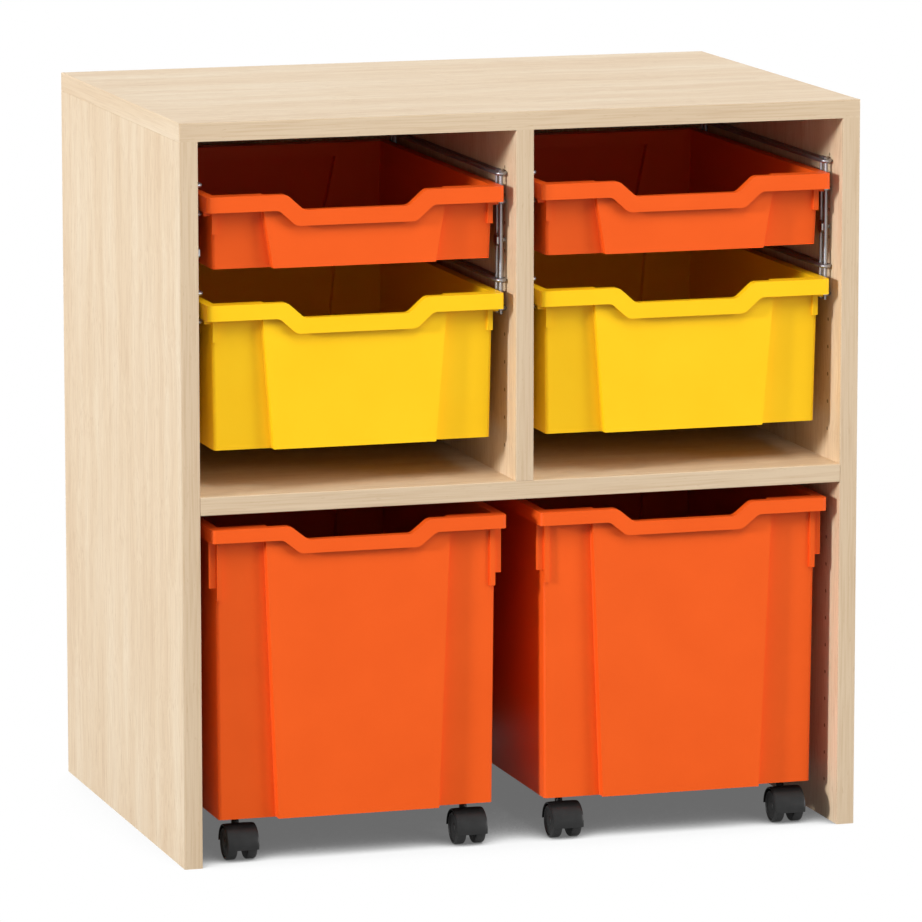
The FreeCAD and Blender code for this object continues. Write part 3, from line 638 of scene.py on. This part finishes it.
# Socket and stem profiles: share of the radius, share of the height
SOCKET_PROFILE = np.array((
    (0.0, 0.0), (0.9, 0.0), (1.0, 0.03), (1.0, 0.74), (0.85, 0.79), (0.85, 0.98), (0.83, 1.0),
    (0.78, 1.0), (0.78, 0.06), (0.0, 0.06)))
STEM_PROFILE = np.array(((0.0, 0.0), (0.85, 0.0), (1.0, 0.015), (1.0, 0.985), (0.85, 1.0), (0.0, 1.0)))


def castor_hood(centre):
    """A section like a T, the crown over a middle web, carried round the axle from front lip to rear."""
    crown = HOOD_CROWN * (HOOD_RADIUS, HOOD_HALF_WIDTH)
    inner = HOOD_RADIUS - HOOD_WALL
    web = np.array(((inner, WEB_HALF_WIDTH), (WEB_FOOT, WEB_HALF_WIDTH), (WEB_FOOT, -WEB_HALF_WIDTH),
                    (inner, -WEB_HALF_WIDTH)))
    section = np.concatenate([crown, web])
    start = -math.asin(HOOD_FRONT_DROP / HOOD_RADIUS)
    turn = np.linspace(start, np.pi, TURN_STEPS // 2)
    y = -section[None, :, 0] * np.cos(turn)[:, None]
    z = section[None, :, 0] * np.sin(turn)[:, None]
    x = np.broadcast_to(section[None, :, 1], y.shape)
    points = np.stack([x, y, z], axis=-1).reshape(-1, 3) + np.asarray(centre)[None, :]
    count = len(section)
    last = (len(turn) - 1) * count
    faces = grid_quads(len(turn), count, False, True)
    faces += [list(range(count)), list(range(last, last + count))]
    return points, faces


stem_pins = {"left_bin_castor_stems": [], "right_bin_castor_stems": []}
for cad_name in nodes:
    low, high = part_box(cad_name)
    if cad_name.endswith("_wheel"):
        outward = -1 if cad_name.endswith("left_wheel") else 1
        inner_face = high.x if outward < 0 else low.x
        lengths = inner_face + outward * WHEEL_WIDTH * WHEEL_PROFILE[:, 1]
        centre = (0, (low.y + high.y) / 2, (low.z + high.z) / 2)
        wheel = turned_form(WHEEL_RADIUS * WHEEL_PROFILE[:, 0], lengths, "x", centre)
        piece = make_piece(cad_name + "_turned", [wheel], wheel_black, cad_name)
        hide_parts(cad_name)
    if cad_name.endswith("_castor_hood"):
        axle = np.array(((low.x + high.x) / 2, low.y + HOOD_RADIUS, WHEEL_RADIUS))
        foot = low.z - WHEEL_RADIUS
        lengths = foot + (high.z - low.z) * SOCKET_PROFILE[:, 1]
        collar = turned_form(SOCKET_RADIUS * SOCKET_PROFILE[:, 0], lengths, "z", axle + (0, TRAIL, 0))
        piece = make_piece(cad_name + "_moulded", [castor_hood(axle), collar], castor_black, cad_name)
        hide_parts(cad_name)
        stem_set = cad_name.split("_")[0] + "_bin_castor_stems"
        pin_low, pin_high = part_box(stem_set)
        lengths = pin_low.z + (pin_high.z - pin_low.z) * STEM_PROFILE[:, 1]
        pin = turned_form(STEM_RADIUS * STEM_PROFILE[:, 0], lengths, "z", (axle[0], axle[1] + TRAIL, 0))
        stem_pins[stem_set].append(pin)
for stem_set, pins in stem_pins.items():
    piece = make_piece(stem_set + "_turned", pins, plated_stem, stem_set)
    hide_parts(stem_set)


# Fixing holes


def hole_discs(face, outward, depths, levels):
    """Flat discs at every crossing of the depths and levels, a hair proud of the board face."""
    turn = np.linspace(0, 2 * np.pi, HOLE_STEPS, endpoint=False)
    y0, z0 = (grid.ravel() for grid in np.meshgrid(depths, levels, indexing="ij"))
    y = y0[:, None] + HOLE_RADIUS * np.cos(turn)[None, :]
    z = z0[:, None] + HOLE_RADIUS * np.sin(turn)[None, :] * outward
    x = np.full(y.shape, face + outward * HOLE_STAND_PROUD)
    points = np.stack([x, y, z], axis=-1).reshape(-1, 3)
    faces = np.arange(len(points)).reshape(-1, HOLE_STEPS).tolist()
    return points, faces


levels = HOLE_FIRST + HOLE_PITCH * np.arange(int((side_top - HOLE_FIRST) / HOLE_PITCH))
clear = (levels < shelf_low.z - HOLE_PITCH / 2) | (levels > shelf_high.z + HOLE_PITCH / 2)
levels = levels[clear]
upper = levels[levels > shelf_high.z]
# The holes stand in line with the hairpins
hole_rows = hairpin_rows(RUNNER_FRAMES[-1] + "_runner_uprights")
hole_shells = [
    hole_discs(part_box("left_side_panel")[1].x, 1, hole_rows, levels),
    hole_discs(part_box("right_side_panel")[0].x, -1, hole_rows, levels),
    hole_discs(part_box("centre_divider")[0].x, -1, hole_rows, upper),
    hole_discs(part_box("centre_divider")[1].x, 1, hole_rows, upper),
]
# The flat discs stand in for the holes, with the holes' shade painted into their colour
make_piece("runner_fixing_holes", hole_shells, hole_shade, "left_side_panel", closed=False)


# Floor, light and camera

FLOOR_REACH = 30.0
FLOOR_NEAR = 0.4
FLOOR_FAR = 1.6
FLOOR_PAINTED_SHADE_TONES = ((0.0, "#404040"), (1.0, "#A8A8A8"))
FLOOR_PAINTED_SHADOW_TONES = ((0.06, "#6A6A6A"), (0.55, "#FFFFFF"))
SHADE_REACH = 0.5
SHADE_SAMPLES = 16
SEEN_WHITE = 1.0


def looked_at(tree):
    """1 for a ray that comes from the camera, a mirror-like surface or glass, and 0 for other light."""
    rays = node(tree, "ShaderNodeLightPath").outputs
    direct = node(tree, "ShaderNodeMath", {0: rays["Is Camera Ray"], 1: rays["Is Glossy Ray"]},
                  operation="MAXIMUM").outputs["Value"]
    return node(tree, "ShaderNodeMath", {0: direct, 1: rays["Is Transmission Ray"]},
                operation="MAXIMUM").outputs["Value"]


def sight(turn, fall):
    """Direction of view from a standpoint turned from the front towards the left; fall is how far down."""
    level_reach = math.cos(fall)
    return Vector((math.sin(turn) * level_reach, math.cos(turn) * level_reach, -math.sin(fall)))


floor_mesh = bpy.data.meshes.new("studio_floor")
floor_mesh.from_pydata([(-FLOOR_REACH, -FLOOR_REACH, 0), (FLOOR_REACH, -FLOOR_REACH, 0),
                        (FLOOR_REACH, FLOOR_REACH, 0), (-FLOOR_REACH, FLOOR_REACH, 0)], [], [(0, 1, 2, 3)])
floor = bpy.data.objects.new("studio_floor", floor_mesh)
bpy.context.scene.collection.objects.link(floor)
# White floor. Where it is looked at it glows as an emission: white wherever it lies open, with a painted
# shadow that is greyer the more of the sky the object hides. Its colour is a painted shade, darker near the
# object, so that the light it throws back on the object comes from farther out, and the foot of the object
# is less lit.
floor_paint, floor_tree, floor_shader = blank_material("white_painted_floor")
reach = node(floor_tree, "ShaderNodeVectorMath", {0: object_place(floor_tree)},
             operation="LENGTH").outputs["Value"]
# Painted shade: the floor's colour is darker near the object
farness = node(floor_tree, "ShaderNodeMapRange",
               {"Value": reach, "From Min": FLOOR_NEAR, "From Max": FLOOR_FAR}).outputs["Result"]
floor_tree.links.new(ramp(floor_tree, farness, FLOOR_PAINTED_SHADE_TONES), floor_shader.inputs["Base Color"])
floor_shader.inputs["Roughness"].default_value = MATT
# Painted shadow: where it is looked at, the floor is grey where the object hides the sky
openness = node(floor_tree, "ShaderNodeAmbientOcclusion", {"Distance": SHADE_REACH}, samples=SHADE_SAMPLES)
shade = node(floor_tree, "ShaderNodeValToRGB", {"Fac": openness.outputs["AO"]}, FLOOR_PAINTED_SHADOW_TONES)
shade.color_ramp.interpolation = "EASE"
seen_floor = node(floor_tree, "ShaderNodeEmission",
                  {"Color": shade.outputs["Color"], "Strength": SEEN_WHITE})
floor_mix = node(floor_tree, "ShaderNodeMixShader", {0: looked_at(floor_tree)})
floor_tree.links.new(floor_shader.outputs["BSDF"], floor_mix.inputs[1])
floor_tree.links.new(seen_floor.outputs["Emission"], floor_mix.inputs[2])
floor_tree.links.new(floor_mix.outputs["Shader"], floor_tree.nodes["Material Output"].inputs["Surface"])
floor_mesh.materials.append(floor_paint)

# The sky lights the object by its own strengths at the horizon and overhead, and is seen as plain white
SKY_LOW = 0.45
SKY_HIGH = 0.4
world = bpy.data.worlds.new("studio")
bpy.context.scene.world = world
world.use_nodes = True
sky = world.node_tree
background = sky.nodes["Background"]
heading = node(sky, "ShaderNodeTexCoord").outputs["Generated"]
height = node(sky, "ShaderNodeSeparateXYZ", {"Vector": heading}).outputs["Z"]
glow = node(sky, "ShaderNodeMapRange",
            {"Value": height, "To Min": SKY_LOW, "To Max": SKY_HIGH}).outputs["Result"]
sky_strength = node(sky, "ShaderNodeMix", {0: looked_at(sky), 2: glow, 3: SEEN_WHITE},
                    data_type="FLOAT").outputs[0]
background.inputs["Color"].default_value = srgb("#FFFFFF")
sky.links.new(sky_strength, background.inputs["Strength"])

# Each lamp: degrees from the front towards the left, degrees up, strength, degrees of softness, and whether
# it shows in shiny surfaces
LAMPS = {"key": (74, 13, 2.35, 8, True), "fill": (-58, 12, 1.5, 24, True),
         "above": (-5, 52, 1.3, 32, False)}
for lamp_name, (across, rise, strength, spread, shows) in LAMPS.items():
    lamp_data = bpy.data.lights.new(lamp_name, "SUN")
    lamp_data.energy = strength
    lamp_data.angle = math.radians(spread)
    lamp = bpy.data.objects.new(lamp_name, lamp_data)
    bpy.context.scene.collection.objects.link(lamp)
    lamp.visible_glossy = shows
    shining = sight(math.radians(across), math.radians(rise))
    lamp.rotation_mode = "QUATERNION"
    lamp.rotation_quaternion = shining.to_track_quat("-Z", "Y")

camera_data = bpy.data.cameras.new("portrait")
camera_data.lens = CAMERA_LENS
camera_data.sensor_width = CAMERA_SENSOR
camera_data.clip_end = CAMERA_SIGHT
camera = bpy.data.objects.new("portrait", camera_data)
bpy.context.scene.collection.objects.link(camera)
looking = sight(CAMERA_TURN, CAMERA_FALL)
camera.rotation_mode = "QUATERNION"
camera.rotation_quaternion = looking.to_track_quat("-Z", "Y") @ Quaternion((0, 0, 1), CAMERA_ROLL)
camera.location = CAMERA_PLACE
bpy.context.scene.camera = camera
bpy.context.scene.view_settings.view_transform = "Standard"
